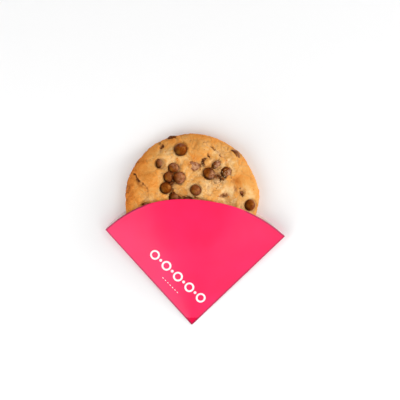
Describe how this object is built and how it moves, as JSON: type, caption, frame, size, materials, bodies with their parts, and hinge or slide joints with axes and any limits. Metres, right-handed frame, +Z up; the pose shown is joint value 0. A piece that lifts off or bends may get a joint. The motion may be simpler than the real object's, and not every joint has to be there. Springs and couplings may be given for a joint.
{
  "type": "chocolate chip cookie in a card sleeve",
  "caption": "Chocolate chip cookie in a folded quarter-disc card sleeve that holds its lower half, lying on its back with the chip-studded side up.",
  "frame": {"origin": "on the surface that the part lies on, under the middle of the cookie", "axes": "+Z up through the cookie's thickness, +Y from the sleeve's closed tip to its open mouth, +X to the right"},
  "size_m": [0.123, 0.1317, 0.0217],
  "materials": {
    "dough": "baked, matt, lumpy",
    "chocolate": "melted and set, low sheen",
    "card": "smooth coated card, pink outside"
  },
  "bodies": {
    "root": {"cookie": "dough", "chip_01": "chocolate", "chip_02": "chocolate", "chip_03": "chocolate", "chip_04": "chocolate", "chip_05": "chocolate", "chip_06": "chocolate", "chip_07": "chocolate", "chip_08": "chocolate", "chip_09": "chocolate", "chip_10": "chocolate", "chip_11": "chocolate", "chip_12": "chocolate", "chip_13": "chocolate", "chip_14": "chocolate", "chip_15": "chocolate", "chip_16": "chocolate", "chip_17": "chocolate", "chip_18": "chocolate", "chip_19": "chocolate", "chip_20": "chocolate", "chip_21": "chocolate", "chip_22": "chocolate", "chip_23": "chocolate", "chip_24": "chocolate", "sleeve": "card"}
  },
  "joints": []
}
